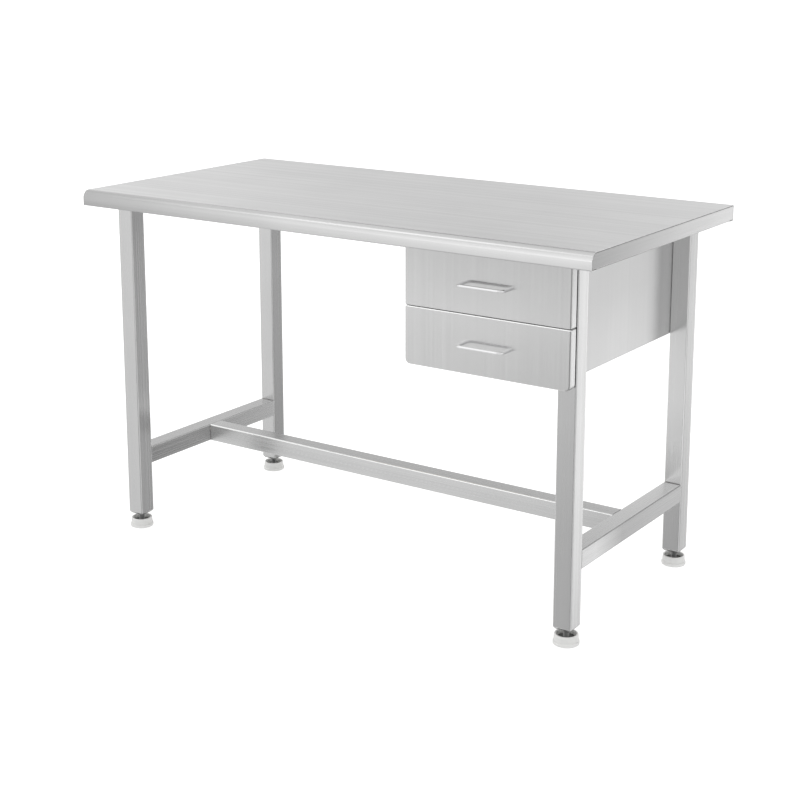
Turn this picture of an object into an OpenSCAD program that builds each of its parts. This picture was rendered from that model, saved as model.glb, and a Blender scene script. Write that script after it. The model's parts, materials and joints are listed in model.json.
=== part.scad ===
// Stainless work table with two drawers under its right-hand end.
// Millimetres. +Z is up and the front faces -Y. The origin is on the floor, under the middle of the worktop.

/* [Worktop] */
// Overall width, left to right
table_w = 1200; // [1100:10:1800]
// Overall depth, front to back
table_d = 600; // [600:10:800]
// Height of the working surface above the floor
table_h = 750; // [720:5:950]
// Height of the folded edge
edge_h = 32; // [28:1:36]
// Outer radius of the rounded front edge
nose_r = 16; // [8:1:18]
// Thickness of the worktop sheet
sheet_t = 1.2; // [1:0.1:1.5]
// Outer radius of the tight folds
fold_r = 2.4; // [2:0.1:3]
// Width of the fold turned in under the worktop
return_w = 16; // [12:1:20]
// Thickness of the board glued under the sheet
board_t = 15; // [12:1:16]

/* [Stiffening channels] */
// Width of a channel's web
channel_w = 60; // [50:1:80]
// Width of each lip
channel_lip = 12; // [10:1:15]
// Thickness of the channel sheet
channel_t = 1.5; // [1:0.1:2]
// Distance of the two long channels from the middle of the table
long_channel_y = 140; // [110:5:160]

/* [Legs and rails] */
// Side of the square tube
tube_s = 38; // [36:1:45]
// Wall of the square tube
tube_t = 1.5; // [1.2:0.1:2]
// Outer corner radius of the square tube
tube_r = 2.5; // [2.2:0.1:4]
// Distance from the worktop's edge to the outer face of a leg
leg_inset = 50; // [45:1:80]
// Height of the underside of the rails above the floor
rail_z = 142; // [100:1:250]

/* [Feet] */
// Height of the lower end of the leg tube above the floor
leg_bottom = 35; // [35:1:40]
// Height of the tapered flange of the plug in a leg's end
plug_flange = 4.5; // [3:0.5:5]
// Diameter of the nylon base
foot_d = 50; // [46:1:60]
// Height of the nylon base
foot_h = 20; // [18:1:20]
// Diameter of the levelling stud
stud_d = 12; // [10:1:14]
// Radial clearance between the stud and its bore
stud_play = 0.05; // [0.02:0.01:0.1]

/* [Drawer fronts] */
// Width of a drawer front
front_w = 348; // [340:1:400]
// Height of a drawer front
front_h = 111.5; // [105:0.5:115]
// Thickness of a drawer front
front_t = 19; // [16:1:20]
// Gap between the two fronts
front_gap = 1; // [1:0.5:4]
// Gap between the fronts and the legs behind them
front_clear = 5; // [2:0.5:5]
// Radius of the lower corners of the pair of fronts
front_corner = 10; // [4:1:14]

/* [Drawers] */
// Thickness of the sheet in the housing and the drawers
box_t = 1; // [0.8:0.1:1.2]
// Height of a drawer tray
tray_h = 86; // [70:1:88]
// Depth of a drawer tray
tray_d = 478; // [400:1:480]
// Width of one telescopic slide, between housing and tray
slide_w = 12.7; // [12.7:0.1:13]
// Height of a slide's outer member
slide_h = 45; // [40:1:46]
// Length of a slide's outer and inner member
slide_l = 450; // [400:10:450]

/* [Handles] */
// Distance between the two ends of a handle
handle_c = 96; // [80:1:128]
// Diameter of the handle rod
handle_d = 6; // [5:0.5:8]
// How far a handle stands out
handle_out = 26; // [24:1:27]
// Centre-line radius of the handle's bends
handle_bend = 9; // [8:1:12]

/* [Hidden] */

$fn = 48;
eps = 0.5;
steel = "gainsboro";
dull_steel = "silver";
bright_steel = "whitesmoke";

// Worktop
edge_z = table_h - edge_h;
front_y = -table_d / 2;
back_y = table_d / 2;

// Channels fill the height between the board and the lower edge of the worktop
channel_h = edge_h - sheet_t - board_t;
channel_reach = channel_w / 2 + channel_lip;
lip_mid = (channel_w + channel_lip) / 2;

// Legs
leg_x = table_w / 2 - leg_inset - tube_s / 2;
leg_y = table_d / 2 - leg_inset - tube_s / 2;
leg_front = -leg_y - tube_s / 2;
socket_s = tube_s - 2 * tube_t - 0.4;
socket_t = 2;
socket_l = 45;
bolt_z = edge_z - 22;
bolt_r = 3;

// Feet
plug_s = tube_s - 2 * tube_t - 0.1;
plug_l = 27;
plug_taper = 3.5;
stud_top = 60;
skirt_h = 7;
disc_z = foot_h - 10.5;
disc_h = 4;
disc_r = 17;

// Drawer fronts, counted down from the worktop
front_plane = leg_front - front_clear - front_t;
front_back = leg_front - front_clear;
front_right = leg_x + tube_s / 2 - 1;
front_left = front_right - front_w;
front_mid = (front_left + front_right) / 2;
upper_z = edge_z - 2 - front_h / 2;
lower_z = upper_z - front_h - front_gap;
seam_r = 2.5;

// Housing, from the right-hand legs to just inside the left end of the fronts
housing_right = leg_x - tube_s / 2;
housing_left = front_left + 3;
housing_mid = (housing_left + housing_right) / 2;
housing_w = housing_right - housing_left;
housing_top = edge_z;
housing_bottom = lower_z - front_h / 2;
housing_front = leg_front;
housing_rear = -leg_front;
flange_w = 12;
tie_h = 15;
tie_d = 24;
mid_tie_z = lower_z + front_h / 2 - 7;

// Trays and slides
tray_w = housing_w - 2 * box_t - 2 * slide_w;
tray_drop = 48;
slide_front = housing_front + 4;
slide_t = 1.2;
middle_l = slide_l - 20;

// Screws
screw_r = 2;
hole_r = 2.2;
housing_screw_x = [housing_left + 7, housing_right - 7];

function side(s) = s < 0 ? 1 : 0;

// ---------- outlines ----------

// A quarter disc in the positive quadrant
module quarter(r) {
  intersection() {
    circle(r);
    square(r);
  }
}

// A rectangle centred on the origin, with its own radius at the top and the bottom corners
module rounded(w, h, r_top, r_bottom) {
  translate([-w / 2, -h / 2 + r_bottom]) square([w, h - r_top - r_bottom]);
  translate([-w / 2 + r_top, h / 2 - r_top]) square([w - 2 * r_top, r_top]);
  translate([-w / 2 + r_bottom, -h / 2]) square([w - 2 * r_bottom, r_bottom]);
  for (s = [0, 1]) mirror([s, 0]) {
    translate([w / 2 - r_top, h / 2 - r_top]) quarter(r_top);
    translate([w / 2 - r_bottom, -h / 2 + r_bottom]) mirror([0, 1]) quarter(r_bottom);
  }
}

module tube_section() {
  bore = tube_s - 2 * tube_t;
  difference() {
    rounded(tube_s, tube_s, tube_r, tube_r);
    rounded(bore, bore, tube_r - tube_t, tube_r - tube_t);
  }
}

// The outline's X and Y become Y and Z, and it runs along X
module along_x(length) {
  rotate([90, 0, 90]) linear_extrude(length, center = true) children();
}

// The outline's X and Y become X and Z, and it runs along Y
module along_y(length) {
  rotate([90, 0, 0]) linear_extrude(length, center = true) children();
}

// A block from one corner to the opposite one
module block(low, high) {
  translate(low) cube(high - low);
}

// ---------- fasteners ----------

// A pan-head screw along +Z: its head stands above z = 0, with a hexagon socket
module screw(r, length, head_r, head_h) {
  translate([0, 0, -length]) cylinder(r = r, h = length + head_h / 2);
  difference() {
    cylinder(r = head_r, h = head_h);
    translate([0, 0, head_h * 0.45]) cylinder(r = head_r * 0.45, h = head_h, $fn = 6);
  }
}

// ---------- worktop ----------

// One 90 degree fold of the sheet, about its own centre, towards the signs sy and sz
module fold(r, sy, sz) {
  mirror([side(sy), 0]) mirror([0, side(sz)]) difference() {
    quarter(r);
    circle(r - sheet_t);
  }
}

// Section of the worktop sheet: round nose in front, tight fold behind, returns below
module top_section() {
  translate([front_y + nose_r, table_h - sheet_t]) square([table_d - nose_r - fold_r, sheet_t]);
  translate([front_y + nose_r, table_h - nose_r]) fold(nose_r, -1, 1);
  translate([back_y - fold_r, table_h - fold_r]) fold(fold_r, 1, 1);
  translate([front_y, edge_z + fold_r]) square([sheet_t, edge_h - nose_r - fold_r]);
  translate([back_y - sheet_t, edge_z + fold_r]) square([sheet_t, edge_h - 2 * fold_r]);
  for (s = [-1, 1]) {
    translate([s * (table_d / 2 - fold_r), edge_z + fold_r]) fold(fold_r, s, -1);
    translate([s * (table_d / 2 - (return_w + fold_r) / 2), edge_z + sheet_t / 2])
      square([return_w - fold_r, sheet_t], center = true);
  }
}

module top_sheet() {
  color(steel) along_x(table_w) top_section();
}

// The end plate fills the sheet's section, so the sheet's own edge frames it
module end_section() {
  inner_y = table_d / 2 - sheet_t;
  mid_z = table_h - nose_r;
  translate([-inner_y, edge_z + fold_r]) square([2 * inner_y, mid_z - edge_z - fold_r]);
  translate([front_y + nose_r, mid_z]) square([table_d - nose_r - fold_r, nose_r - sheet_t]);
  translate([front_y + nose_r, mid_z]) mirror([1, 0]) quarter(nose_r - sheet_t);
  translate([back_y - fold_r, mid_z]) square([fold_r - sheet_t, nose_r - fold_r]);
  translate([back_y - fold_r, table_h - fold_r]) quarter(fold_r - sheet_t);
  translate([-table_d / 2 + return_w, edge_z]) square([table_d - 2 * return_w, fold_r]);
}

module end_plate(s) {
  half_span = table_d / 2 - return_w;
  color(steel) mirror([side(s), 0, 0]) {
    translate([table_w / 2 - sheet_t / 2, 0, 0]) along_x(sheet_t) end_section();
    block([table_w / 2 - return_w, -half_span, edge_z], [table_w / 2 - sheet_t, half_span, edge_z + sheet_t]);
  }
}

// Places of the screws that hold the channels' lips to the board
lip_screws = concat(
  [for (sx = [-1, 1], e = [-1, 1], sy = [-1, 1]) [sx * leg_x + e * lip_mid, sy * (long_channel_y + 60)]],
  [for (sy = [-1, 1], e = [-1, 1], sx = [-1, 1]) [sx * (leg_x - 90), sy * long_channel_y + e * lip_mid]]
);
lip_screw_l = 11;

module at_lip_screws(z) {
  for (p = lip_screws) translate([p.x, p.y, z]) children();
}

module underlay_board() {
  reach = table_w / 2 - sheet_t - 1;
  low_z = table_h - sheet_t - board_t;
  color("burlywood") difference() {
    block([-reach, front_y + nose_r, low_z], [reach, back_y - fold_r, low_z + board_t]);
    at_lip_screws(low_z - eps) cylinder(r = hole_r, h = lip_screw_l + eps);
  }
}

// ---------- stiffening channels ----------

// Hat section with its web at the bottom and its lips against the board
module channel_section() {
  translate([-channel_w / 2, 0]) square([channel_w, channel_t]);
  for (s = [0, 1]) mirror([s, 0]) {
    translate([channel_w / 2 - channel_t, channel_t]) square([channel_t, channel_h - channel_t]);
    translate([channel_w / 2, channel_h - channel_t]) square([channel_lip, channel_t]);
  }
}

module channel_holes() {
  at_lip_screws(edge_z + channel_h - 2 * channel_t) cylinder(r = hole_r, h = 3 * channel_t);
  at_housing_screws(edge_z - eps) cylinder(r = hole_r + 0.5, h = 2 * channel_t);
}

module cross_channel(s) {
  color(dull_steel) difference() {
    translate([s * leg_x, 0, edge_z]) along_y(table_d - 2 * return_w - 2) channel_section();
    channel_holes();
  }
}

module long_channel(s) {
  color(dull_steel) difference() {
    translate([0, s * long_channel_y, edge_z]) along_x(2 * (leg_x - channel_reach - 1)) channel_section();
    channel_holes();
  }
}

module channel_screws() {
  color(dull_steel) at_lip_screws(edge_z + channel_h - channel_t) mirror([0, 0, 1])
    screw(screw_r, lip_screw_l + channel_t - eps, 4, 2.4);
}

// ---------- legs and rails ----------

module leg(sx, sy) {
  color(steel) translate([sx * leg_x, sy * leg_y, 0]) difference() {
    translate([0, 0, leg_bottom]) linear_extrude(edge_z - leg_bottom) tube_section();
    translate([0, tube_s / 2 - 2 * tube_t, bolt_z]) rotate([-90, 0, 0]) cylinder(r = bolt_r + 0.2, h = 3 * tube_t);
  }
}

module at_legs() {
  for (sx = [-1, 1], sy = [-1, 1]) translate([sx * leg_x, sy * leg_y, 0]) children();
}

// Stub welded under a cross channel, inside the top of a leg, with a weld nut for the leg's bolt
module leg_sockets() {
  bore = socket_s - 2 * socket_t;
  nut_h = 5;
  color(dull_steel) at_legs() {
    difference() {
      translate([0, 0, edge_z - socket_l]) linear_extrude(socket_l) difference() {
        rounded(socket_s, socket_s, 0.9, 0.9);
        square(bore, center = true);
      }
      translate([0, bore / 2 - eps, bolt_z]) rotate([-90, 0, 0]) cylinder(r = bolt_r + 0.2, h = 2 * socket_t);
    }
    translate([0, bore / 2 - nut_h, bolt_z]) rotate([-90, 0, 0]) difference() {
      cylinder(r = 2 * bolt_r, h = nut_h, $fn = 6);
      translate([0, 0, -eps]) cylinder(r = bolt_r + 0.1, h = nut_h + 2 * eps);
    }
  }
}

module leg_bolts() {
  color(bright_steel) at_legs() translate([0, tube_s / 2, bolt_z]) rotate([-90, 0, 0]) screw(bolt_r, 10, 5.5, 3.2);
}

module side_rail(s) {
  color(steel) translate([s * leg_x, 0, rail_z + tube_s / 2]) along_y(2 * leg_y - tube_s) tube_section();
}

module stretcher() {
  color(steel) translate([0, 0, rail_z + tube_s / 2]) along_x(2 * leg_x - tube_s) tube_section();
}

// ---------- feet ----------

// Trapezium that gives the plug's flange its tapered sides
module flange_taper() {
  top = tube_s / 2;
  low = tube_s / 2 - plug_taper;
  polygon([[-top, 0], [-low, -plug_flange], [low, -plug_flange], [top, 0]]);
}

// Threaded plug pressed into the end of each leg
module leg_plugs() {
  color(dull_steel) at_legs() translate([0, 0, leg_bottom]) difference() {
    union() {
      linear_extrude(plug_l) rounded(plug_s, plug_s, 0.9, 0.9);
      intersection() {
        along_x(tube_s) flange_taper();
        along_y(tube_s) flange_taper();
      }
    }
    translate([0, 0, -plug_flange - eps]) cylinder(r = stud_d / 2 + stud_play, h = plug_l + plug_flange + 2 * eps);
  }
}

module foot_base(sx, sy) {
  r = foot_d / 2;
  color("ghostwhite") translate([sx * leg_x, sy * leg_y, 0]) rotate_extrude()
    polygon([[0, 0], [r - 1, 0], [r, 1], [r, skirt_h - 1], [r - 1.4, skirt_h], [r - 2.4, foot_h - 1], [r - 3.4, foot_h],
             [disc_r + 2.2, foot_h], [disc_r + 0.6, disc_z], [0, disc_z]]);
}

module foot_stud(sx, sy) {
  color(dull_steel) translate([sx * leg_x, sy * leg_y, 0]) {
    translate([0, 0, disc_z]) cylinder(r = disc_r, h = disc_h);
    translate([0, 0, disc_z + disc_h]) cylinder(r = stud_d / 2, h = stud_top - disc_z - disc_h);
  }
}

// ---------- drawer housing ----------

module at_housing_screws(z) {
  for (x = housing_screw_x, sy = [-1, 1]) translate([x, sy * long_channel_y, z]) children();
}

module housing_side(s) {
  outer = housing_w / 2;
  color(steel) difference() {
    translate([housing_mid, 0, 0]) mirror([side(s), 0, 0]) {
      block([outer - box_t, housing_front, housing_bottom], [outer, housing_rear, housing_top]);
      for (z = [housing_bottom, housing_top - box_t])
        block([outer - flange_w, housing_front, z], [outer - box_t, housing_rear, z + box_t]);
    }
    at_housing_screws(housing_top - 2 * box_t) cylinder(r = hole_r + 0.5, h = 4 * box_t);
  }
}

module housing_back() {
  inner = housing_w / 2 - box_t;
  color(steel) translate([housing_mid, 0, 0]) {
    block([-inner, housing_rear - box_t, housing_bottom + 2 * box_t], [inner, housing_rear, housing_top - box_t]);
    for (s = [0, 1]) mirror([s, 0, 0])
      block([inner - box_t, housing_rear - flange_w, housing_bottom + 2 * box_t],
            [inner, housing_rear - box_t, housing_top - box_t]);
  }
}

module housing_base() {
  inner = housing_w / 2 - box_t;
  color(steel) translate([housing_mid, 0, 0])
    block([-inner, housing_front, housing_bottom + box_t], [inner, housing_rear, housing_bottom + 2 * box_t]);
}

// Folded tie across the front of the housing: an upright face with one shelf behind it at shelf_z
module housing_tie(z, h, shelf_z) {
  inner = housing_w / 2 - box_t;
  color(steel) translate([housing_mid, 0, 0]) {
    block([-inner, housing_front, z], [inner, housing_front + box_t, z + h]);
    block([-inner, housing_front + box_t, shelf_z], [inner, housing_front + tie_d, shelf_z + box_t]);
  }
}

module housing_top_tie() {
  housing_tie(housing_top - box_t - tie_h, tie_h, housing_top - 2 * box_t);
}

module housing_mid_tie() {
  housing_tie(mid_tie_z, tie_h - 1, mid_tie_z);
}

module housing_screws() {
  color(dull_steel) at_housing_screws(housing_top - box_t) mirror([0, 0, 1]) screw(2.5, 8, 4.5, 2.6);
}

// Rubber buffers that the fronts close against
module drawer_bumpers() {
  height = front_clear - 0.2;
  color("dimgray") for (x = [housing_left + 21, housing_right - 21]) {
    translate([x, housing_front, housing_top - box_t - tie_h / 2]) rotate([90, 0, 0]) cylinder(r = 4, h = height);
    translate([x, housing_front, mid_tie_z + 3.5]) rotate([90, 0, 0]) cylinder(r = 3, h = height);
  }
}

// ---------- telescopic slides ----------

// C-shaped member lying against x = start, opening towards +X as far as stop
module slide_member(start, stop, half_h, length) {
  difference() {
    block([start, 0, -half_h], [stop, length, half_h]);
    block([start + slide_t, -eps, slide_t - half_h], [stop + eps, length + eps, half_h - slide_t]);
  }
}

module at_slide(s, z) {
  translate([housing_mid, slide_front, z - 6]) mirror([side(-s), 0, 0])
    translate([box_t - housing_w / 2, 0, 0]) children();
}

module slide_outer(s, z) {
  color(dull_steel) at_slide(s, z) slide_member(0, slide_w - 3.2, slide_h / 2, slide_l);
}

module slide_middle(s, z) {
  color(bright_steel) at_slide(s, z) translate([0, 4, 0])
    slide_member(2.8, slide_w - 2.7, slide_h / 2 - 3.7, middle_l);
}

// Opens the other way, with its web against the tray
module slide_inner(s, z) {
  color(dull_steel) difference() {
    at_slide(s, z) translate([slide_w, 0, 0]) mirror([1, 0, 0])
      slide_member(0, slide_w - 6, slide_h / 2 - 7.4, slide_l);
    at_tray_side_screws(z) translate([0, 0, -3 * slide_t]) cylinder(r = hole_r, h = 5 * slide_t);
  }
}

// ---------- drawers ----------

// Outline of a front, shrunk by inset. Only the lower corners of the pair are well rounded.
module front_outline(upper, inset) {
  rounded(front_w - 2 * inset, front_h - 2 * inset,
          seam_r - inset, (upper ? seam_r : front_corner) - inset);
}

module at_handle_ends(z, y) {
  for (s = [-1, 1]) translate([front_mid + s * handle_c / 2, y, z]) rotate([90, 0, 0]) children();
}

module front_pan(z, upper) {
  color(steel) difference() {
    translate([front_mid, front_plane + front_t / 2, z]) along_y(front_t) front_outline(upper, 0);
    translate([front_mid, front_plane + front_t / 2 + sheet_t, z]) along_y(front_t) front_outline(upper, sheet_t);
    at_handle_ends(z, front_plane + 2 * sheet_t) cylinder(r = hole_r, h = 3 * sheet_t);
  }
}

// Plate that closes the back of the pan, where the tray is screwed on
module front_liner(z, upper) {
  color(dull_steel) difference() {
    translate([front_mid, front_back - sheet_t / 2, z]) along_y(sheet_t) front_outline(upper, sheet_t + 0.2);
    at_handle_ends(z, front_back + eps) cylinder(r = hole_r, h = 2 * sheet_t);
    at_tray_front_screws(z, front_back + eps) cylinder(r = hole_r, h = 2 * sheet_t);
  }
}

module at_tray_front_screws(z, y) {
  for (sx = [-1, 1], sz = [-1, 1])
    translate([housing_mid + sx * (tray_w / 2 - 20), y, z - tray_drop + tray_h / 2 + sz * 28]) rotate([90, 0, 0]) children();
}

// Points on the inside of the tray's two side walls, each with +Z into the tray
module at_tray_side_screws(z) {
  for (s = [-1, 1], y = [40, slide_l / 2, slide_l - 40])
    translate([housing_mid + s * (tray_w / 2 - box_t), slide_front + y, z - 6]) rotate([0, -s * 90, 0]) children();
}

module tray(z) {
  low = [housing_mid - tray_w / 2, front_back, z - tray_drop];
  high = [housing_mid + tray_w / 2, front_back + tray_d, z - tray_drop + tray_h];
  hem_w = 2.4;
  hem_h = 7;
  color(bright_steel) difference() {
    block(low, high);
    block(low + [hem_w, box_t, box_t], high + [-hem_w, -hem_w, eps]);
    block(low + [box_t, box_t, box_t], high - [box_t, box_t, hem_h]);
    at_handle_ends(z, front_back + 2 * box_t) cylinder(r = hole_r, h = 3 * box_t);
    at_tray_front_screws(z, front_back + 2 * box_t) cylinder(r = hole_r, h = 3 * box_t);
    at_tray_side_screws(z) translate([0, 0, -3 * box_t]) cylinder(r = hole_r, h = 6 * box_t);
  }
}

module tray_screws(z) {
  color(dull_steel) {
    at_tray_front_screws(z, front_back + box_t) mirror([0, 0, 1]) screw(screw_r, 7, 3.8, 2);
    at_tray_side_screws(z) screw(screw_r, box_t + slide_t + 0.6, 3.8, 2);
  }
}

// Bent rod: two arms, two quarter bends and a bar, with a blind screw hole in each arm
module handle(z) {
  bar_y = front_plane - handle_out + handle_d / 2;
  arm = handle_out - handle_d / 2 - handle_bend;
  color("white") difference() {
    union() {
      for (s = [0, 1]) translate([front_mid, 0, z]) mirror([s, 0, 0]) {
        translate([handle_c / 2, front_plane, 0]) rotate([90, 0, 0]) cylinder(d = handle_d, h = arm);
        translate([handle_c / 2 - handle_bend, bar_y + handle_bend, 0]) rotate([0, 0, -90])
          rotate_extrude(angle = 90) translate([handle_bend, 0]) circle(d = handle_d);
      }
      translate([front_mid - handle_c / 2 + handle_bend, bar_y, z]) rotate([0, 90, 0])
        cylinder(d = handle_d, h = handle_c - 2 * handle_bend);
    }
    at_handle_ends(z, front_plane + eps) cylinder(r = screw_r + 0.1, h = arm - 1 + eps);
  }
}

module handle_screws(z) {
  color(dull_steel) at_handle_ends(z, front_back + box_t) mirror([0, 0, 1])
    screw(screw_r, front_t + box_t + 9, 4, 2.2);
}

// ---------- the whole table ----------

top_sheet();
end_plate(-1);  // end_plate_left
end_plate(1);  // end_plate_right
underlay_board();
cross_channel(-1);  // cross_channel_left
cross_channel(1);  // cross_channel_right
long_channel(-1);  // long_channel_front
long_channel(1);  // long_channel_back
channel_screws();
leg(-1, -1);  // leg_front_left
leg(1, -1);  // leg_front_right
leg(-1, 1);  // leg_back_left
leg(1, 1);  // leg_back_right
leg_sockets();
leg_bolts();
leg_plugs();
side_rail(-1);  // side_rail_left
side_rail(1);  // side_rail_right
stretcher();
housing_side(-1);  // housing_side_left
housing_side(1);  // housing_side_right
housing_back();
housing_base();
housing_top_tie();
housing_mid_tie();
housing_screws();
drawer_bumpers();
slide_outer(-1, upper_z);  // slide_outer_upper_left
slide_outer(1, upper_z);  // slide_outer_upper_right
slide_outer(-1, lower_z);  // slide_outer_lower_left
slide_outer(1, lower_z);  // slide_outer_lower_right
slide_middle(-1, upper_z);  // slide_middle_upper_left
slide_middle(1, upper_z);  // slide_middle_upper_right
slide_middle(-1, lower_z);  // slide_middle_lower_left
slide_middle(1, lower_z);  // slide_middle_lower_right
slide_inner(-1, upper_z);  // slide_inner_upper_left
slide_inner(1, upper_z);  // slide_inner_upper_right
slide_inner(-1, lower_z);  // slide_inner_lower_left
slide_inner(1, lower_z);  // slide_inner_lower_right
front_pan(upper_z, true);  // front_pan_upper
front_liner(upper_z, true);  // front_liner_upper
tray(upper_z);  // tray_upper
tray_screws(upper_z);  // tray_screws_upper
handle(upper_z);  // handle_upper
handle_screws(upper_z);  // handle_screws_upper
front_pan(lower_z, false);  // front_pan_lower
front_liner(lower_z, false);  // front_liner_lower
tray(lower_z);  // tray_lower
tray_screws(lower_z);  // tray_screws_lower
handle(lower_z);  // handle_lower
handle_screws(lower_z);  // handle_screws_lower
foot_base(-1, -1);  // foot_base_front_left
foot_base(1, -1);  // foot_base_front_right
foot_base(-1, 1);  // foot_base_back_left
foot_base(1, 1);  // foot_base_back_right
foot_stud(-1, -1);  // foot_stud_front_left
foot_stud(1, -1);  // foot_stud_front_right
foot_stud(-1, 1);  // foot_stud_back_left
foot_stud(1, 1);  // foot_stud_back_right
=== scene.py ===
import json
import math

import bmesh
import bpy
from mathutils import Matrix, Vector

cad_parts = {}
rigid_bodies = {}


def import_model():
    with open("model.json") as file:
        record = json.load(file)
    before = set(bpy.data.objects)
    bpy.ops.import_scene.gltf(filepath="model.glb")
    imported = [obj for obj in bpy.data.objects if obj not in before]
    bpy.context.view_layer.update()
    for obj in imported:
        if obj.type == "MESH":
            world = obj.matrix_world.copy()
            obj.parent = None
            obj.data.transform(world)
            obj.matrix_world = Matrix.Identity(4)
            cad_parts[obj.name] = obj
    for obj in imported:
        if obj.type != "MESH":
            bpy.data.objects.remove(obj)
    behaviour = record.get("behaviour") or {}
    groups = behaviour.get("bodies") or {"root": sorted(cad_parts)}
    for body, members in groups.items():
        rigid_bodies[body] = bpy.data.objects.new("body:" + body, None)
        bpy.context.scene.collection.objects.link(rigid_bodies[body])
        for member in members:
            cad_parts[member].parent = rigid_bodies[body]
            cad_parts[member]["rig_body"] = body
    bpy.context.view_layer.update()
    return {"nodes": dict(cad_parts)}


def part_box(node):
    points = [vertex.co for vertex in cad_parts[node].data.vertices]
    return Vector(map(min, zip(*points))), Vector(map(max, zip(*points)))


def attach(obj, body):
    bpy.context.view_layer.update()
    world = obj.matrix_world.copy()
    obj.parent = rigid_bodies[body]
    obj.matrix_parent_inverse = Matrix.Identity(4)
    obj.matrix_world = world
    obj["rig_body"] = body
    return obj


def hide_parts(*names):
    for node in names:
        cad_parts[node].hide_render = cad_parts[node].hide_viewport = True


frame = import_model()
scene = bpy.context.scene
scene.view_settings.view_transform = "Standard"

MM = 0.001

# Thickness of the worktop, fronts and slides; of the housing and trays; of the channels.
SHEET, THIN_SHEET, CHANNEL_SHEET = 1.2 * MM, 1 * MM, 1.5 * MM

# The worktop: the radius of its nose, the radius of its other folds, and how far its lower edges turn in.
NOSE, FOLD, TURN_IN = 16 * MM, 2.4 * MM, 16 * MM

# The gap round the end plates, and the radius of their sharpest corners.
SEAM_GAP, TIGHT = 1 * MM, 0.3 * MM

# Width of the square tubes, and how far the feet screw out.
TUBE, FOOT_TRAVEL = 38 * MM, 15 * MM

# Points closer together than this are one point.
SAME_PLACE = 0.002 * MM

UP, RIGHT = Vector((0, 0, 1)), Vector((1, 0, 0))


# ---------- camera ----------

TURN, TILT = math.radians(34.5), math.radians(12.2)
camera = bpy.data.objects.new("camera", bpy.data.cameras.new("camera"))
camera.location = (1.8173, -2.6419, 1.2704)
camera.rotation_euler = (math.pi / 2 - TILT, 0, TURN)
camera.data.lens = 71.46
camera.data.sensor_width = 36
camera.data.shift_y = -0.15
camera.data.clip_end = 200
scene.collection.objects.link(camera)
scene.camera = camera


# ---------- node trees ----------

class Tree:
    """A node tree, with one call for each node."""

    def __init__(self, owner):
        owner.use_nodes = True
        self.nodes, self.links = owner.node_tree.nodes, owner.node_tree.links

    def add(self, kind, *values, out=0, **settings):
        """
        Makes a node and gives back its output out, a name or a number.
        Its values go to its inputs in order, or by name for a (name, value) pair. A socket is linked.
        """
        made = self.nodes.new("ShaderNode" + kind)
        for key, value in settings.items():
            setattr(made, key, value)
        for i, value in enumerate(values):
            key, value = value if isinstance(value, tuple) and isinstance(value[0], str) else (i, value)
            self.feed(made.inputs[key], value)
        return made.outputs[out] if made.outputs else None

    def feed(self, socket, value):
        if isinstance(value, bpy.types.NodeSocket):
            self.links.new(value, socket)
        else:
            socket.default_value = value

    def math(self, operation, *values):
        return self.add("Math", *values, operation=operation)

    def sum(self, *parts):
        """Adds up (value, weight) pairs."""
        total = self.math("MULTIPLY", *parts[0])
        for part in parts[1:]:
            total = self.math("ADD", total, self.math("MULTIPLY", *part))
        return total

    def span(self, value, low, high, to_low, to_high):
        """Maps low to high onto to_low to to_high, held at both ends."""
        return self.add("MapRange", value, low, high, to_low, to_high)

    def blend(self, factor, dark, light):
        """Mixes two colours. Several sockets of this node share a name, so they are asked for by number."""
        dark_socket, light_socket, colour = 6, 7, 2
        mixed = self.add("Mix", ("Factor", factor), data_type="RGBA", out=colour)
        mixed.node.inputs[dark_socket].default_value = (*dark, 1)
        mixed.node.inputs[light_socket].default_value = (*light, 1)
        return mixed

    def bump(self, strength, distance, height):
        return self.add("Bump", strength, ("Distance", distance), ("Height", height))

    def place(self, scale):
        """The object's own coordinates, stretched along each axis by scale."""
        return self.add("Mapping", self.add("TexCoord", out="Object"), ("Scale", scale))

    def noise(self, scale, detail=3, rough=0.5, warp=0.0):
        """Noise with scale spots in a metre along each axis."""
        return self.add("TexNoise", ("Vector", self.place(scale)), ("Scale", 1.0), ("Detail", detail),
                        ("Roughness", rough), ("Distortion", warp))

    def cells(self, scale):
        """Flat cells of random tones."""
        tones = self.add("TexVoronoi", ("Vector", self.place(scale)), ("Scale", 1.0), out="Color")
        return self.add("SeparateColor", tones)


def finish_of(name, shade, **numbers):
    """A Principled material. shade makes its textures; numbers go straight onto the shader's sockets."""
    mat = bpy.data.materials.new(name)
    tree = Tree(mat)
    bsdf = tree.nodes["Principled BSDF"]
    for key, value in numbers.items():
        bsdf.inputs[key.replace("_", " ")].default_value = value
    for key, value in shade(tree).items():
        tree.feed(bsdf.inputs[key.replace("_", " ")], value)
    return mat


def tinted(colour, change):
    """A colour made lighter or darker by a share of itself."""
    return [min(1, c * (1 + change)) for c in colour]


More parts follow.
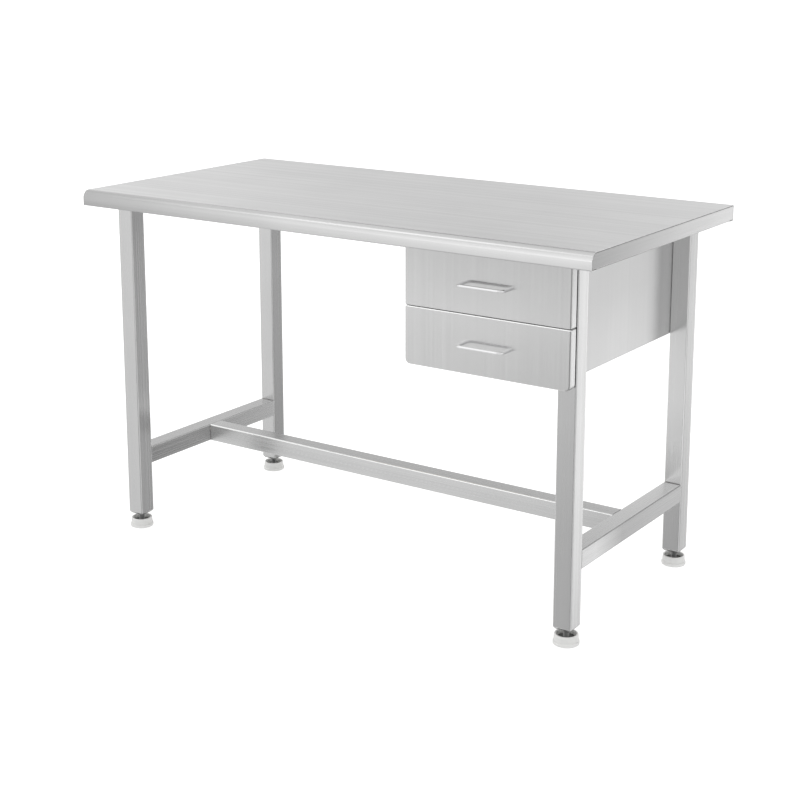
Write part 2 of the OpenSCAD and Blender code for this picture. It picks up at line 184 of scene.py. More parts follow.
def brushed(name, axis, light, rough=0.3, streak=0.1, anisotropic=0.6, bump=0.1, painted_fades=()):
    """
    Brushed stainless with its grain along an axis: fine hairs, lines, broad bands and soft clouds.
    Each painted fade is an axis, a start, an end and a change: painted light, the steel grows lighter from
    start to end.
    """
    clouding = 0.02

    def shade(t):
        def streaks(along, across, roughness=0.6, warp=0.0):
            return t.noise([along if a == axis else across for a in "xyz"], rough=roughness, warp=warp)

        grain = t.sum((streaks(6, 1500, roughness=0.65), 0.35), (streaks(1.5, 330, warp=0.08), 0.65))
        band, cloud = streaks(0.8, 75), t.noise((5, 5, 5), rough=0.55)
        level = t.math("ADD", t.span(grain, 0.36, 0.64, 0, streak), t.span(band, 0.33, 0.67, 0, streak))
        level = t.math("ADD", level, t.span(cloud, 0.35, 0.65, 0, 2 * clouding))
        reach = streak + clouding
        # Painted light: each fade makes the steel lighter along an axis, standing in for light and shade.
        for along, start, end, change in painted_fades:
            place = t.add("SeparateXYZ", t.add("TexCoord", out="Object"), out=along.upper())
            level = t.math("ADD", level, t.span(place, start, end, 0, 2 * change))
            reach += change
        grey, mix = [light] * 3, t.span(level, 0, 2 * reach, 0, 1)
        return {"Base_Color": t.blend(mix, tinted(grey, -reach), tinted(grey, reach)),
                "Roughness": t.span(grain, 0.36, 0.64, rough - 0.04, rough + 0.04),
                "Normal": t.bump(bump, 0.06 * MM, grain),
                "Tangent": t.add("Tangent", direction_type="RADIAL", axis=axis.upper())}

    return finish_of(name, shade, Metallic=1.0, Anisotropic=anisotropic)


def satin(name, colour, rough, metallic=1.0, speckle=0.06, size=60, bump=0.1, **numbers):
    """A finish without grain: fine speckle, soft clouds and a light bump."""

    def shade(t):
        fine = t.noise([size * 12] * 3, rough=0.6)
        cloud = t.noise([size * 0.2] * 3, detail=4, rough=0.55)
        level = t.sum((fine, 0.4), (cloud, 0.6))
        mix = t.span(level, 0.25, 0.75, 0, 1)
        return {"Base_Color": t.blend(mix, tinted(colour, -speckle), tinted(colour, speckle)),
                "Roughness": t.span(level, 0.25, 0.75, rough - 0.05, rough + 0.07),
                "Normal": t.bump(bump, 0.2 * MM, level)}

    return finish_of(name, shade, Metallic=metallic, **numbers)


def zinc(name):
    """Galvanised sheet with soft spangles."""

    def shade(t):
        fine = t.noise((700, 700, 700))
        level = t.sum((t.cells((140, 140, 140)), 0.7), (fine, 0.3))
        return {"Base_Color": t.blend(level, (0.40, 0.41, 0.42), (0.56, 0.57, 0.585)),
                "Roughness": t.span(level, 0, 1, 0.34, 0.5),
                "Normal": t.bump(0.08, 0.3 * MM, fine)}

    return finish_of(name, shade, Metallic=1.0)


def chipboard(name):
    """Underside of the glued board: grey-brown, pressed from flat chips."""

    def shade(t):
        fine = t.noise((900, 900, 900), rough=0.7)
        level = t.sum((t.cells((150, 320, 320)), 0.35), (fine, 0.35), (t.noise((9, 9, 9)), 0.3))
        mix = t.span(level, 0.25, 0.75, 0, 1)
        return {"Base_Color": t.blend(mix, (0.40, 0.335, 0.255), (0.66, 0.59, 0.485)),
                "Roughness": t.span(fine, 0.3, 0.7, 0.7, 0.5),
                "Normal": t.bump(0.25, 0.3 * MM, level)}

    return finish_of(name, shade)


def tinted_weld(name):
    """Weld bead with the brown and blue heat tint that cleaning leaves."""

    def shade(t):
        heat = t.noise((90, 90, 90), rough=0.6)
        ramp = t.add("ValToRGB", heat)
        stops = ramp.node.color_ramp.elements
        stops[0].position, stops[0].color = 0.3, (0.20, 0.195, 0.20, 1)
        stops[1].position, stops[1].color = 0.7, (0.42, 0.40, 0.375, 1)
        middle = stops.new(0.5)
        middle.color = (0.29, 0.28, 0.285, 1)
        return {"Base_Color": ramp,
                "Roughness": t.span(heat, 0.3, 0.7, 0.5, 0.36),
                "Normal": t.bump(0.3, 0.2 * MM, heat)}

    return finish_of(name, shade, Metallic=1.0)


top_steel = brushed("top_steel", "x", 0.71, rough=0.34, streak=0.09)
# Painted light: the nose and the face below it are a darker copy of the worktop steel, painted darker towards
# the left end and lighter on the rounded nose than low on the face.
nose_painted_light = brushed("nose_painted_light", "x", 0.53, rough=0.24, streak=0.05, bump=0.06,
                     painted_fades=(("x", -0.6, -0.05, 0.15), ("z", 0.718, 0.733, 0.07)))
# Painted light: the end plates grow lighter from front to back.
end_steel = brushed("end_steel", "y", 0.43, rough=0.3, streak=0.05, painted_fades=(("y", -0.3, 0.3, 0.34),))
leg_steel = brushed("leg_steel", "z", 0.60, rough=0.24, streak=0.025, bump=0.04)
# Painted light: a lighter copy of the leg steel for the back right leg, lightest between about 0.28 m and
# 0.36 m up and darkest at its foot.
leg_painted_light = brushed("leg_painted_light", "z", 0.70, rough=0.24, streak=0.025, bump=0.04,
                           painted_fades=(("z", 0.14, 0.28, 0.16), ("z", 0.5, 0.36, 0.12)))
rail_steel = brushed("rail_steel", "y", 0.585, rough=0.26, streak=0.045, bump=0.06)
# Painted shade: a darker copy of the rail steel for the right rail's outer face, lighter towards the front.
rail_painted_shade = brushed("rail_painted_shade", "y", 0.43, rough=0.26, streak=0.045, bump=0.06,
                          painted_fades=(("y", -0.05, -0.16, 0.26),))
# Painted shade: a darker copy of the leg steel for the right faces of the back legs, lighter upwards from 0.2
# m to 0.5 m.
leg_painted_shade = brushed("leg_painted_shade", "z", 0.43, rough=0.24, streak=0.025, bump=0.04,
                         painted_fades=(("z", 0.2, 0.5, 0.08),))
# Painted shade: a dark copy of the steel for the bend down the right side of each drawer front.
fold_painted_shade = brushed("fold_painted_shade", "z", 0.36, rough=0.3, streak=0.03)
# Painted highlight: a light copy of the steel for the upper front corner of the stretcher and the top bend of
# each drawer front.
corner_painted_highlight = brushed("corner_painted_highlight", "x", 0.93, rough=0.3, streak=0.03)
stretcher_steel = brushed("stretcher_steel", "x", 0.59, rough=0.26, streak=0.06, bump=0.06)
# Painted shade: the drawer fronts are darker at the top, under the worktop, growing lighter downwards to 0.61
# m.
front_steel = brushed("front_steel", "z", 0.63, rough=0.2, streak=0.03, anisotropic=1.0, bump=0.06,
                      painted_fades=(("z", 0.716, 0.61, 0.12),))
# Painted light: the housing sides grow lighter downwards from 0.62 m to 0.495 m.
panel_steel = brushed("panel_steel", "z", 0.645, rough=0.34, streak=0.03, bump=0.06,
                      painted_fades=(("z", 0.62, 0.495, 0.05),))
sheet_steel = brushed("sheet_steel", "x", 0.58, rough=0.38, streak=0.05)
# Painted shade: the liners behind the fronts are darker than the other sheet, so the gaps round the fronts
# look shaded.
liner_painted_shade = brushed("liner_painted_shade", "x", 0.36, rough=0.42, streak=0.05)
tray_steel = brushed("tray_steel", "y", 0.60, rough=0.33, streak=0.05)
edge_steel = satin("edge_steel", (0.74, 0.74, 0.74), 0.22, speckle=0.05, size=120)
mill_steel = zinc("mill_steel")
slide_steel = satin("slide_steel", (0.60, 0.61, 0.63), 0.28, speckle=0.08, size=50)
slide_middle = satin("slide_middle", (0.68, 0.68, 0.70), 0.24, speckle=0.06, size=50)
chrome = satin("chrome", (0.78, 0.78, 0.785), 0.12, speckle=0.03, size=30, bump=0.03)
screw_steel = satin("screw_steel", (0.52, 0.52, 0.53), 0.3, speckle=0.1, size=200)
plug_steel = satin("plug_steel", (0.55, 0.55, 0.545), 0.38, speckle=0.07, size=150)
# Painted shade: a near-black finish for the bead that stands for the shade in the end plates' gaps.
seam_painted_shade = satin("seam_painted_shade", (0.055, 0.055, 0.056), 0.45, speckle=0.2, size=100)
stud_steel = satin("stud_steel", (0.30, 0.30, 0.30), 0.32, speckle=0.15, size=150)
disc_steel = satin("disc_steel", (0.10, 0.10, 0.098), 0.35, speckle=0.2, size=150)
nylon = satin("nylon", (0.76, 0.76, 0.75), 0.36, metallic=0.0, speckle=0.02, size=80, bump=0.06,
              Subsurface_Weight=0.8, Subsurface_Scale=0.006, Subsurface_Radius=(1, 1, 1))
rubber = satin("rubber", (0.035, 0.035, 0.036), 0.72, metallic=0.0, speckle=0.25, size=120, bump=0.3)
weld_steel = tinted_weld("weld_steel")
board = chipboard("board")


# ---------- mesh building ----------

def turned(axis, u, v, w):
    """The point with u and v across an axis and w along it."""
    return {"x": Vector((w, u, v)), "y": Vector((u, w, v)), "z": Vector((u, v, w))}[axis]


def loft(bm, rings, loop=False):
    """Joins rings of points into one skin, capped at both ends or closed into a loop."""
    rows = [[bm.verts.new(p) for p in ring] for ring in rings]
    for a, b in list(zip(rows, rows[1:])) + ([(rows[-1], rows[0])] if loop else []):
        for i in range(len(a)):
            j = (i + 1) % len(a)
            bm.faces.new((a[i], a[j], b[j], b[i]))
    if not loop:
        bm.faces.new(rows[0][::-1])
        bm.faces.new(rows[-1])


def corners(low, high, radii, steps):
    """
    Outline of a rectangle, anticlockwise.
    The radii are for its right top, left top, left bottom and right bottom corners, or one for them all.
    """
    radii = radii if isinstance(radii, (list, tuple)) else [radii] * 4
    points = []
    for k, r in enumerate(radii):
        u = high[0] - r if k in (0, 3) else low[0] + r
        v = high[1] - r if k in (0, 1) else low[1] + r
        for i in range(steps + 1):
            a = math.pi / 2 * (k + i / steps)
            points.append((u + r * math.cos(a), v + r * math.sin(a)))
    return points


def rounded(path, radii, steps=6):
    """The points of a path with an arc at each bend, and the path's direction at each point."""
    path = [Vector(p) for p in path]
    radii = radii if isinstance(radii, list) else [radii] * (len(path) - 2)
    points = [(path[0], (path[1] - path[0]).normalized())]
    for before, here, after, r in zip(path, path[1:], path[2:], radii):
        a, b = (here - before).normalized(), (after - here).normalized()
        turn = math.atan2(a.cross(b), a.dot(b))
        start = here - a * r * math.tan(abs(turn) / 2)
        side = math.copysign(r, turn)
        centre = start + Vector((-a.y, a.x)) * side
        for i in range(steps + 1):
            d = Matrix.Rotation(turn * i / steps, 2) @ a
            points.append((centre - Vector((-d.y, d.x)) * side, d))
    points.append((path[-1], (path[-1] - path[-2]).normalized()))
    return points


def bent(path, thick, radii, steps=6):
    """Outline of a sheet bent along a path. The radii are those of the middle of the sheet."""
    middle = rounded(path, radii, steps)
    left = [p + Vector((-d.y, d.x)) * thick / 2 for p, d in middle]
    right = [p - Vector((-d.y, d.x)) * thick / 2 for p, d in middle]
    return left + right[::-1]


def prism(bm, outline, axis, low, high):
    """Draws an outline out along an axis."""
    loft(bm, [[turned(axis, u, v, w) for u, v in outline] for w in (low, high)])


def quarter(steps):
    """Angles from 0 to a right angle."""
    return [math.pi / 2 * k / steps for k in range(steps + 1)]


def circle(centre, radius, z, steps, start=0.0):
    """Points round a level circle, from a start angle on."""
    turns = [start + 2 * math.pi * i / steps for i in range(steps)]
    return [(centre[0] + radius * math.cos(a), centre[1] + radius * math.sin(a), z) for a in turns]


def lathe(path, radii, centre, base, steps):
    """Turns corners of (radius, height above base), in millimetres, round the vertical through centre."""
    bm = bmesh.new()
    smallest, arc_steps = 0.001, 3
    profile = [(max(p.x, smallest) * MM, base + p.y * MM) for p, d in rounded(path, radii, arc_steps)]
    loft(bm, [circle(centre, r, z, steps) for r, z in profile])
    bmesh.ops.remove_doubles(bm, verts=bm.verts, dist=SAME_PLACE)
    return bm


def sweep(bm, path, sizes, steps, flat=UP):
    """A round bar along a path, with a radius for each point."""
    path = [Vector(p) for p in path]
    rings = []
    for p, r, last, nearer in zip(path, sizes, path[:1] + path, path[1:] + path[-1:]):
        along = (nearer - last).normalized()
        across = along.cross(flat).normalized()
        over = across.cross(along)
        rings.append([p + (across * math.cos(a) + over * math.sin(a)) * r
                      for a in (2 * math.pi * k / steps for k in range(steps))])
    loft(bm, rings)


def piece(name, bm, body, mats, stands_for=(), bevel=0.3 * MM, segments=2, angle=32):
    """
    Turns a mesh into a piece of the model: rounded edges, even normals, and the body it rides on.
    The last of several materials is the one of its rounded edges.
    """
    bmesh.ops.recalc_face_normals(bm, faces=bm.faces)
    mesh = bpy.data.meshes.new(name)
    bm.to_mesh(mesh)
    bm.free()
    for mat in mats:
        mesh.materials.append(mat)
    mesh.shade_smooth()
    made = bpy.data.objects.new(name, mesh)
    scene.collection.objects.link(made)
    if bevel:
        soft = made.modifiers.new("edges", "BEVEL")
        soft.width, soft.segments = bevel, segments
        soft.limit_method, soft.angle_limit = "ANGLE", math.radians(angle)
        soft.material = len(mats) - 1 if len(mats) > 1 else -1
        soft.miter_outer = "MITER_ARC"
    even = made.modifiers.new("normals", "WEIGHTED_NORMAL")
    even.weight = 80
    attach(made, body)
    if stands_for:
        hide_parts(*stands_for)


def body_of(node):
    return frame["nodes"][node]["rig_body"]


def refined(node, mats, bevel=0.25 * MM, segments=2, angle=40):
    """Stands for a CAD node with the same shape, its edges rounded."""
    bm = bmesh.new()
    bm.from_mesh(frame["nodes"][node].data)
    bmesh.ops.remove_doubles(bm, verts=bm.verts, dist=SAME_PLACE)
    bmesh.ops.dissolve_limit(bm, angle_limit=math.radians(0.5), verts=bm.verts, edges=bm.edges)
    for f in bm.faces:
        f.material_index = 0
    piece(node + "_finish", bm, body_of(node), mats, (node,), bevel, segments, angle)


# ---------- worktop ----------

def worktop():
    """The folded skin: a round nose in front, tight folds elsewhere, and both lower edges turned in."""
    low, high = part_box("top_sheet")
    half = SHEET / 2
    y0, y1, z0, z1 = low.y + half, high.y - half, low.z + half, high.z - half
    path = [(low.y + TURN_IN, z0), (y0, z0), (y0, z1), (y1, z1), (y1, z0), (high.y - TURN_IN, z0)]
    bm = bmesh.new()
    prism(bm, bent(path, SHEET, [FOLD - half, NOSE - half, FOLD - half, FOLD - half], 14), "x", low.x, high.x)
    # The nose and the face below it take the steel with painted light.
    for f in bm.faces:
        f.material_index = 1 if f.calc_center_median().y < low.y + NOSE else 0
    mats = [top_steel, nose_painted_light, edge_steel]
    piece("worktop_skin", bm, "frame", mats, ("top_sheet",), bevel=0.2 * MM)


def end_plate(side):
    """The plate that closes an end of the worktop, with a flange turned in below."""
    low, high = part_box("top_sheet")
    face, inward = (high.x, -1) if side == "right" else (low.x, 1)
    inset, z_fold = SHEET + SEAM_GAP, low.z + FOLD
    bm = bmesh.new()
    outline = corners((low.y + inset, z_fold), (high.y - inset, high.z - inset),
                      (FOLD - SHEET, NOSE - inset, TIGHT, TIGHT), 12)
    prism(bm, outline, "x", *sorted((face + inward * SHEET, face)))
    x, z = face + inward * SHEET / 2, low.z + SHEET / 2
    flange = bent([(x, z_fold), (x, z), (face + inward * TURN_IN, z)], SHEET, FOLD - SHEET / 2)
    prism(bm, flange, "y", low.y + TURN_IN, high.y - TURN_IN)
    # The plate's steel is painted lighter towards the back.
    node, mats = "end_plate_" + side, [end_steel, edge_steel]
    piece(node + "_finish", bm, "frame", mats, (node,), bevel=0.25 * MM)


def end_seam(side):
    """A near-black bead sunk in the gap between the end plate and the worktop's skin: painted shade for the
    gap.
    """
    low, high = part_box("top_sheet")
    face, inward = (high.x, -1) if side == "right" else (low.x, 1)
    middle, z_fold = SHEET + SEAM_GAP / 2, low.z + FOLD
    edge = corners((low.y + middle, low.z), (high.y - middle, high.z - middle),
                   (FOLD - SHEET, NOSE - middle, TIGHT / 3, TIGHT / 3), 10)
    path = [(u, v) for u, v in edge if v > z_fold]
    path = [(path[0][0], z_fold)] + path + [(path[-1][0], z_fold)]
    ripple, depth = 2.5 * MM, 1.1 * MM
    fine = []
    for (u0, v0), (u1, v1) in zip(path, path[1:]):
        count = max(1, round(math.hypot(u1 - u0, v1 - v0) / ripple))
        fine += [(u0 + (u1 - u0) * k / count, v0 + (v1 - v0) * k / count) for k in range(count)]
    fine.append(path[-1])
    bm = bmesh.new()
    sizes = [(0.62 + 0.04 * math.sin(k * 1.9)) * MM for k in range(len(fine))]
    sweep(bm, [(face + inward * depth, u, v) for u, v in fine], sizes, 8, flat=RIGHT)
    piece("end_seam_" + side, bm, "frame", [seam_painted_shade], bevel=0)


worktop()
for side in ("left", "right"):
    end_plate(side)
    end_seam(side)
refined("underlay_board", [board], bevel=0.6 * MM)


# ---------- legs, rails and feet ----------

def right_side(normal):
    return normal.x > 0.9


def upper_corner(normal):
    """The rounding between a front and a top."""
    return normal.y < -0.1 and normal.z > 0.1


def right_corner(normal):
    """The rounding between a front and a right side."""
    return normal.y < -0.1 and normal.x > 0.1


def square_tube(node, axis, mats, chosen=None):
    """A tube with rounded corners. The faces whose normals are chosen take the second material, a copy of the
    steel with painted light.
    """
    low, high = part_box(node)
    u, v, w = {"x": (1, 2, 0), "y": (0, 2, 1), "z": (0, 1, 2)}[axis]
    wall, radius = 1.5 * MM, 2.5 * MM
    rings = []
    for inset, end in ((0, low[w]), (0, high[w]), (wall, high[w]), (wall, low[w])):
        inner, outer = (low[u] + inset, low[v] + inset), (high[u] - inset, high[v] - inset)
        rings.append([turned(axis, a, b, end) for a, b in corners(inner, outer, radius - inset, 7)])
    bm = bmesh.new()
    loft(bm, rings, loop=True)
    bmesh.ops.recalc_face_normals(bm, faces=bm.faces)
    for f in bm.faces:
        f.material_index = 1 if chosen and chosen(f.normal) else 0
    piece(node + "_tube", bm, "frame", mats, (node,), bevel=0.35 * MM, angle=50)


def bead(bm, start, end, radius, away):
    """A row of overlapping weld ripples along a corner, sunk into it and thinner at both ends."""
    start, end, away = Vector(start), Vector(end), Vector(away)
    step, depth, thin = 0.45 * MM, 0.16, 0.35
    count = max(8, round((end - start).length / step))
    path, sizes = [], []
    for k in range(count + 1):
        path.append(start.lerp(end, k / count) + away * radius * 0.2)
        ripple = 1 - depth + depth * abs(math.sin(math.pi * (k % 4) / 4))
        sizes.append(radius * ripple * min(1, thin + k / 3, thin + (count - k) / 3))
    sweep(bm, path, sizes, 10, flat=away.normalized())


def joint_welds():
    """Fillet beads where a rail meets a leg or the stretcher meets a rail, on the faces that aren't flush."""
    bm = bmesh.new()
    size, reach = 1.1 * MM, TUBE / 2 - 3 * MM
    for side in ("left", "right"):
        low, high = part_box("side_rail_" + side)
        x = (low.x + high.x) / 2
        for y, back in ((low.y, 1), (high.y, -1)):
            for z, up in ((low.z, -1), (high.z, 1)):
                bead(bm, (x - reach, y, z), (x + reach, y, z), size, (0, back, up))
    low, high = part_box("stretcher")
    z = (low.z + high.z) / 2
    for x, back in ((low.x, 1), (high.x, -1)):
        for y, out in ((low.y, -1), (high.y, 1)):
            bead(bm, (x, y, z - reach), (x, y, z + reach), size, (back, out, 0))
    piece("rail_welds", bm, "frame", [weld_steel], bevel=0)


LEGS = [(y + "_" + x) for y in ("front", "back") for x in ("left", "right")]
for place in LEGS:
    # The back right leg takes the lighter painted copy of the leg steel.
    main = leg_painted_light if place == "back_right" else leg_steel
    # The right faces of the back legs take painted shade.
    chosen = right_side if place.startswith("back") else None
    square_tube("leg_" + place, "z", [main, leg_painted_shade, edge_steel], chosen)
square_tube("side_rail_left", "y", [rail_steel, edge_steel])
# The right rail's outer face takes painted shade.
square_tube("side_rail_right", "y", [rail_steel, rail_painted_shade, edge_steel], right_side)
# The stretcher's upper front corner takes a painted highlight.
square_tube("stretcher", "x", [stretcher_steel, corner_painted_highlight, edge_steel], upper_corner)
joint_welds()


def leg_centre(place):
    low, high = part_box("leg_" + place)
    return (low + high) / 2


def plugs():
    """The tapered plugs, one at each leg, each with a neck inside the tube and a chamfered bore."""
    bm = bmesh.new()
    low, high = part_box("leg_plugs")
    bore, chamfer, steps = 6.05 * MM, 0.8 * MM, 5
    foot_half, neck_half, taper, neck = 15.5 * MM, 17.45 * MM, 4.5 * MM, 31.5 * MM
    outside = ((foot_half, 0, 1.6 * MM), (TUBE / 2, taper, 2.5 * MM),
               (neck_half, taper + 0.1 * MM, 0.9 * MM), (neck_half, neck, 0.9 * MM))
    for place in LEGS:
        c = leg_centre(place)
        rings = []
        for half, z, r in outside:
            flat = corners((c.x - half, c.y - half), (c.x + half, c.y + half), r, steps)
            rings.append([(x, y, low.z + z) for x, y in flat])
        count = len(rings[0])
        start = math.pi / 4 - math.pi * steps / count
        for r, z in ((bore, high.z), (bore, low.z + chamfer), (bore + chamfer, low.z)):
            rings.append(circle(c, r, z, count, start))
        loft(bm, rings, loop=True)
    mats = [plug_steel, edge_steel]
    piece("leg_plugs_finish", bm, "frame", mats, ("leg_plugs",), bevel=0.25 * MM, angle=30)


def foot_cup(place):
    """The nylon cup: a tapered wall over a broad base, open above and slightly hollow below."""
    node = "foot_base_" + place
    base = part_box(node)[0].z
    outside = [(0, 1.6), (15.3, 1.6), (16.9, 0), (25, 0), (25, 6.5), (23.5, 7.2), (22.38, 20)]
    inside = [(19.1, 20), (17.8, 9.5), (0, 9.5)]
    radii = [0.8, 0.8, 1.3, 0.9, 0.9, 0.9, 0.8, 0.6]
    bm = lathe(outside + inside, radii, leg_centre(place), base, 72)
    piece("foot_cup_" + place, bm, "foot_" + place, [nylon], (node,), bevel=0)


def foot_disc(place):
    """The dark disc that lies in the cup and carries the threaded rod."""
    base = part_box("foot_stud_" + place)[0].z
    path = [(0, 0), (17, 0), (17, 3.07), (12.2, 3.53), (11.3, 4), (6, 3.95)]
    bm = lathe(path, 0.5, leg_centre(place), base, 56)
    piece("foot_disc_" + place, bm, "foot_" + place, [disc_steel], bevel=0)


def foot_thread(place):
    """A threaded rod: one winding groove with flat crests and roots, and a tapered end."""
    node = "foot_stud_" + place
    low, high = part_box(node)
    c, radius, pitch, groove_depth = leg_centre(place), 6 * MM, 1.75 * MM, 0.95 * MM
    taper, taper_length, start = 0.9 * MM, 1.2 * MM, low.z + 3.5 * MM
    steps, rows_in_pitch = 40, 9
    rows = int((high.z - start) / pitch * rows_in_pitch)
    rings = []
    for row in range(rows + 1):
        z = start + (high.z - start) * row / rows
        narrow = taper * (1 - min(1, (high.z - z) / taper_length))
        ring = []
        for i in range(steps):
            from_root = abs((z / pitch - i / steps) % 1 - 0.5)
            groove = 1 - min(1, max(0, from_root * 2.5 - 0.12))
            r = radius - groove_depth * groove - narrow
            a = 2 * math.pi * i / steps
            ring.append((c.x + r * math.cos(a), c.y + r * math.sin(a), z))
        rings.append(ring)
    bm = bmesh.new()
    loft(bm, rings)
    piece("foot_thread_" + place, bm, "foot_" + place, [stud_steel], (node,), bevel=0)


plugs()
for place in LEGS:
    foot_cup(place)
    foot_disc(place)
    foot_thread(place)


# ---------- drawer housing ----------

def housing_sheet(node, steel, path, axis, radius):
    """A folded sheet of the housing, with its path in the plane across an axis."""
    low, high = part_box(node)
    along = "xyz".index(axis)
    bm = bmesh.new()
    prism(bm, bent(path, THIN_SHEET, radius), axis, low[along], high[along])
    piece(node + "_sheet", bm, "frame", [steel, edge_steel], (node,), bevel=0.15 * MM)


def housing():
    """Two channel-shaped sides, a back with a flange at each side, and two angled ties across the front."""
    half = THIN_SHEET / 2
    for side in ("left", "right"):
        low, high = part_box("housing_side_" + side)
        web, lip = (low.x + half, high.x) if side == "left" else (high.x - half, low.x)
        path = [(lip, low.z + half), (web, low.z + half), (web, high.z - half), (lip, high.z - half)]
        housing_sheet("housing_side_" + side, panel_steel, path, "y", 1.3 * MM)
    low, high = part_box("housing_back")
    x0, x1, back = low.x + half, high.x - half, high.y - half
    path = [(x0, low.y), (x0, back), (x1, back), (x1, low.y)]
    housing_sheet("housing_back", sheet_steel, path, "z", 1.3 * MM)
    for node, top in (("housing_top_tie", True), ("housing_mid_tie", False)):
        low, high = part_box(node)
        shelf, edge = (high.z - half, low.z) if top else (low.z + half, high.z)
        path = [(low.y + half, edge), (low.y + half, shelf), (high.y, shelf)]
        housing_sheet(node, sheet_steel, path, "x", 1.2 * MM)


housing()
refined("housing_base", [sheet_steel, edge_steel], bevel=0.15 * MM)
refined("drawer_bumpers", [rubber], bevel=0.7 * MM, segments=3)


def channel(node, across, along):
    """A stiffening channel with a lip on each side. across and along are the numbers of its axes."""
    low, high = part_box(node)
    half, lip = CHANNEL_SHEET / 2, 12 * MM
    bottom, top = low.z + half, high.z - half
    left, right = low[across] + lip + half, high[across] - lip - half
    path = [(low[across], top), (left, top), (left, bottom),
            (right, bottom), (right, top), (high[across], top)]
    bm = bmesh.new()
    prism(bm, bent(path, CHANNEL_SHEET, 1.6 * MM), "xyz"[along], low[along], high[along])
    piece(node + "_sheet", bm, "frame", [mill_steel], (node,), bevel=0.15 * MM)


for place in ("left", "right"):
    channel("cross_channel_" + place, 0, 1)
for place in ("front", "back"):
    channel("long_channel_" + place, 1, 0)
refined("leg_sockets", [mill_steel], bevel=0.2 * MM)
for node in ("channel_screws", "leg_bolts", "housing_screws"):
    refined(node, [screw_steel], bevel=0.3 * MM)


# ---------- drawers and slides ----------

def slides(level, side):
    """Three members. The outer and the middle one open towards the drawer, the inner one away from it."""
    half = SHEET / 2
    for member, steel in (("outer", slide_steel), ("middle", slide_middle), ("inner", slide_steel)):
        node = "slide_%s_%s_%s" % (member, level, side)
        low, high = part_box(node)
        web_low = (side == "left") != (member == "inner")
        web, lip = (low.x + half, high.x) if web_low else (high.x - half, low.x)
        path = [(lip, low.z + half), (web, low.z + half), (web, high.z - half), (lip, high.z - half)]
        bm = bmesh.new()
        prism(bm, bent(path, SHEET, 1.5 * MM), "y", low.y, high.y)
        piece(node + "_rail", bm, body_of(node), [steel], (node,), bevel=0.15 * MM)


def front(level):
    """The folded front: soft bends round its face, and larger corners at the lower drawer's bottom."""
    node = "front_pan_" + level
    low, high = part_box(node)
    bend, small, large = 1.9 * MM, 2.5 * MM, 10 * MM
    radii = [small, small, small, small] if level == "upper" else [small, small, large, large]

    def ring(inset, y):
        inner, outer = (low.x + inset, low.z + inset), (high.x - inset, high.z - inset)
        return [(x, y, z) for x, z in corners(inner, outer, [r - inset for r in radii], 8)]

    def bend_rings(inset, face):
        r = bend - inset
        return [ring(inset + r * (1 - math.cos(a)), face + r * (1 - math.sin(a))) for a in quarter(6)]

    rings = bend_rings(SHEET, low.y + SHEET)[::-1] + [ring(SHEET, high.y), ring(0, high.y)]
    rings += bend_rings(0, low.y)
    bm = bmesh.new()
    loft(bm, rings)
    bmesh.ops.recalc_face_normals(bm, faces=bm.faces)
    # Painted light: the top bend takes a painted highlight, the bend down the right side painted shade.
    for f in bm.faces:
        f.material_index = 1 if upper_corner(f.normal) else 2 if right_corner(f.normal) else 0
    mats = [front_steel, corner_painted_highlight, fold_painted_shade, edge_steel]
    piece(node + "_sheet", bm, body_of(node), mats, (node,), bevel=0.2 * MM)


def tray(level):
    """A folded tray: rounded bends along its floor, and rolled hems along its sides and back."""
    node = "tray_" + level
    low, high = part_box(node)
    thick, hem, hem_length, bend = THIN_SHEET, 2.4 * MM, 7 * MM, 2.2 * MM
    inner_corner, outer_corner, hem_corner = 1.5 * MM, 2.6 * MM, 1.2 * MM

    def ring(side_in, front_in, z, r):
        inner, outer = (low.x + side_in, low.y + front_in), (high.x - side_in, high.y - side_in)
        return [(x, y, z) for x, y in corners(inner, outer, r, 5)]

    rings = []
    for a in quarter(5):
        inset = thick + (bend - thick) * (1 - math.sin(a))
        rings.append(ring(inset, inset, low.z + bend - (bend - thick) * math.cos(a), inner_corner))
    hem_end = high.z - hem_length
    rings.append(ring(thick, thick, hem_end, inner_corner))
    rings.append(ring(hem, thick, hem_end - 0.3 * MM, hem_corner))
    for a in quarter(6):
        a *= 2
        over, out = 1 + math.cos(a), hem / 2 * (1 - math.cos(a))
        z = high.z - hem / 2 * (1 - math.sin(a))
        rings.append(ring(hem / 2 * over, thick / 2 * over, z, inner_corner + out))
    for a in quarter(5):
        inset = bend * (1 - math.cos(a))
        rings.append(ring(inset, inset, low.z + bend * (1 - math.sin(a)), outer_corner))
    bm = bmesh.new()
    loft(bm, rings)
    piece(node + "_sheet", bm, body_of(node), [tray_steel, edge_steel], (node,), bevel=0)


def handle(level):
    """A polished rod, bent twice."""
    node = "handle_" + level
    low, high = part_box(node)
    rod, bend = 3 * MM, 9 * MM
    x0, x1, bar = low.x + rod, high.x - rod, low.y + rod
    path = rounded([(x0, high.y), (x0, bar), (x1, bar), (x1, high.y)], bend, 12)
    z = (low.z + high.z) / 2
    bm = bmesh.new()
    sweep(bm, [(p.x, p.y, z) for p, d in path], [rod] * len(path), 28)
    piece(node + "_rod", bm, body_of(node), [chrome], (node,), bevel=0.2 * MM, angle=60)


for level in ("upper", "lower"):
    front(level)
    refined("front_liner_" + level, [liner_painted_shade], bevel=0.15 * MM)
    tray(level)
    handle(level)
    for side in ("left", "right"):
        slides(level, side)
    refined("tray_screws_" + level, [screw_steel], bevel=0.25 * MM)
    refined("handle_screws_" + level, [screw_steel], bevel=0.25 * MM)


# ---------- studio ----------

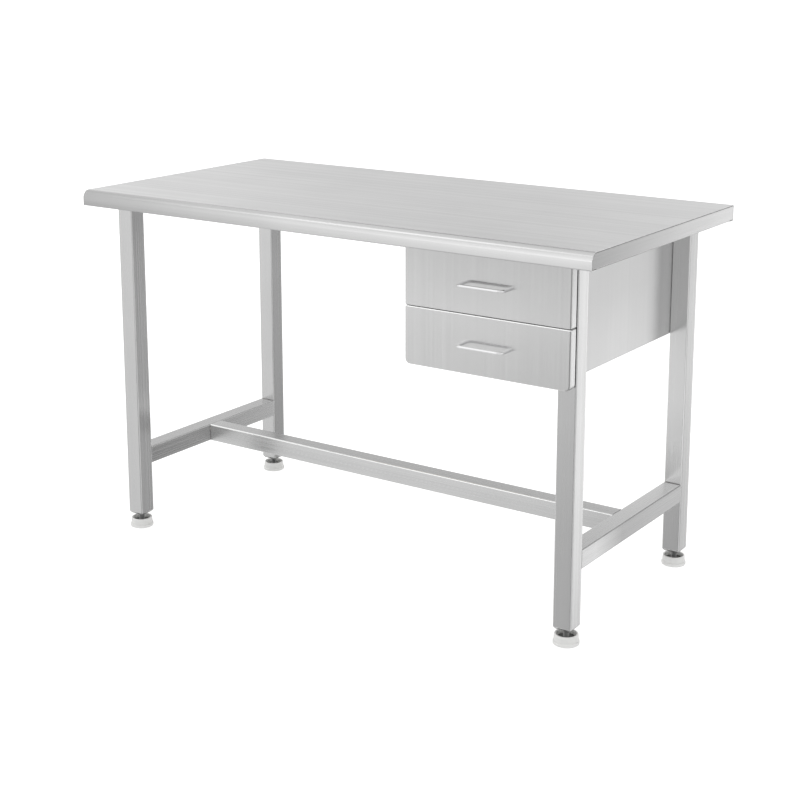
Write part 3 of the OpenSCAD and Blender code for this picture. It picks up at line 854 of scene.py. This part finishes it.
def floor():
    """A plain white floor at the feet's lowest reach, clear from below. The steel doesn't mirror it."""
    radius, middle = 60, Matrix.Translation((0, 0, -FOOT_TRAVEL))
    bm = bmesh.new()
    bmesh.ops.create_circle(bm, cap_ends=True, radius=radius, segments=64, matrix=middle)
    mesh = bpy.data.meshes.new("floor")
    bm.to_mesh(mesh)
    bm.free()
    mat = bpy.data.materials.new("floor")
    t = Tree(mat)
    t.nodes.clear()
    white = t.add("AddShader", t.add("BsdfDiffuse", (0.9, 0.9, 0.9, 1)), t.add("Emission", (1, 1, 1, 1), 0.5))
    below = t.add("NewGeometry", out="Backfacing")
    t.add("OutputMaterial", t.add("MixShader", below, white, t.add("BsdfTransparent")))
    mesh.materials.append(mat)
    made = bpy.data.objects.new("floor", mesh)
    scene.collection.objects.link(made)
    made.visible_glossy = made.visible_diffuse = made.visible_shadow = False


# Each region of the surroundings: azimuth (0 in front, 90 to the right) and height of its middle, the radii
# within which it's full and beyond which it's gone, all in degrees, and the light it adds or takes away.
REGIONS = (
    (150.5, -16, 3, 13, 1.0),
    (136.5, -16, 9, 19.5, -0.7),
    (159, 27, 6, 20, -0.7),
    (-15, 20, 18, 32, 0.2),
    (-29, -4, 3, 10, 0.5),
    (-57, 48, 2, 10, 0.9),
    (216, 27, 5, 14, -0.38),
    (212, 42, 6, 20, -0.2),
    (-10, -25, 8, 18, -0.9),
    (34.5, -6, 8, 28, -0.32),
)


def studio():
    """Soft surroundings, lighter and darker in places, for the steel to mirror. The camera sees white."""
    world = bpy.data.worlds.new("studio")
    scene.world = world
    t = Tree(world)
    t.nodes.clear()
    way = t.add("TexCoord", out="Generated")
    rise = t.add("SeparateXYZ", way, out="Z")
    level = t.math("ADD", t.span(rise, -1, 0, 0.8, 1.0), t.span(rise, 0.1, 1, 0, -0.1))
    for azimuth, height, full, gone, light in REGIONS:
        a, e = math.radians(azimuth), math.radians(height)
        aim = (math.sin(a) * math.cos(e), -math.cos(a) * math.cos(e), math.sin(e))
        near = t.add("VectorMath", way, aim, operation="DOT_PRODUCT", out="Value")
        inside = t.add("MapRange", near, math.cos(math.radians(gone)), math.cos(math.radians(full)), 0, 1,
                       interpolation_type="SMOOTHSTEP")
        level = t.math("ADD", level, t.math("MULTIPLY", inside, light))
    backdrop = 1.1
    seen = t.add("LightPath", out="Is Camera Ray")
    shown = t.sum((seen, backdrop), (t.math("SUBTRACT", 1.0, seen), level))
    t.add("OutputWorld", t.add("Background", (1, 1, 1, 1), shown))


floor()
studio()
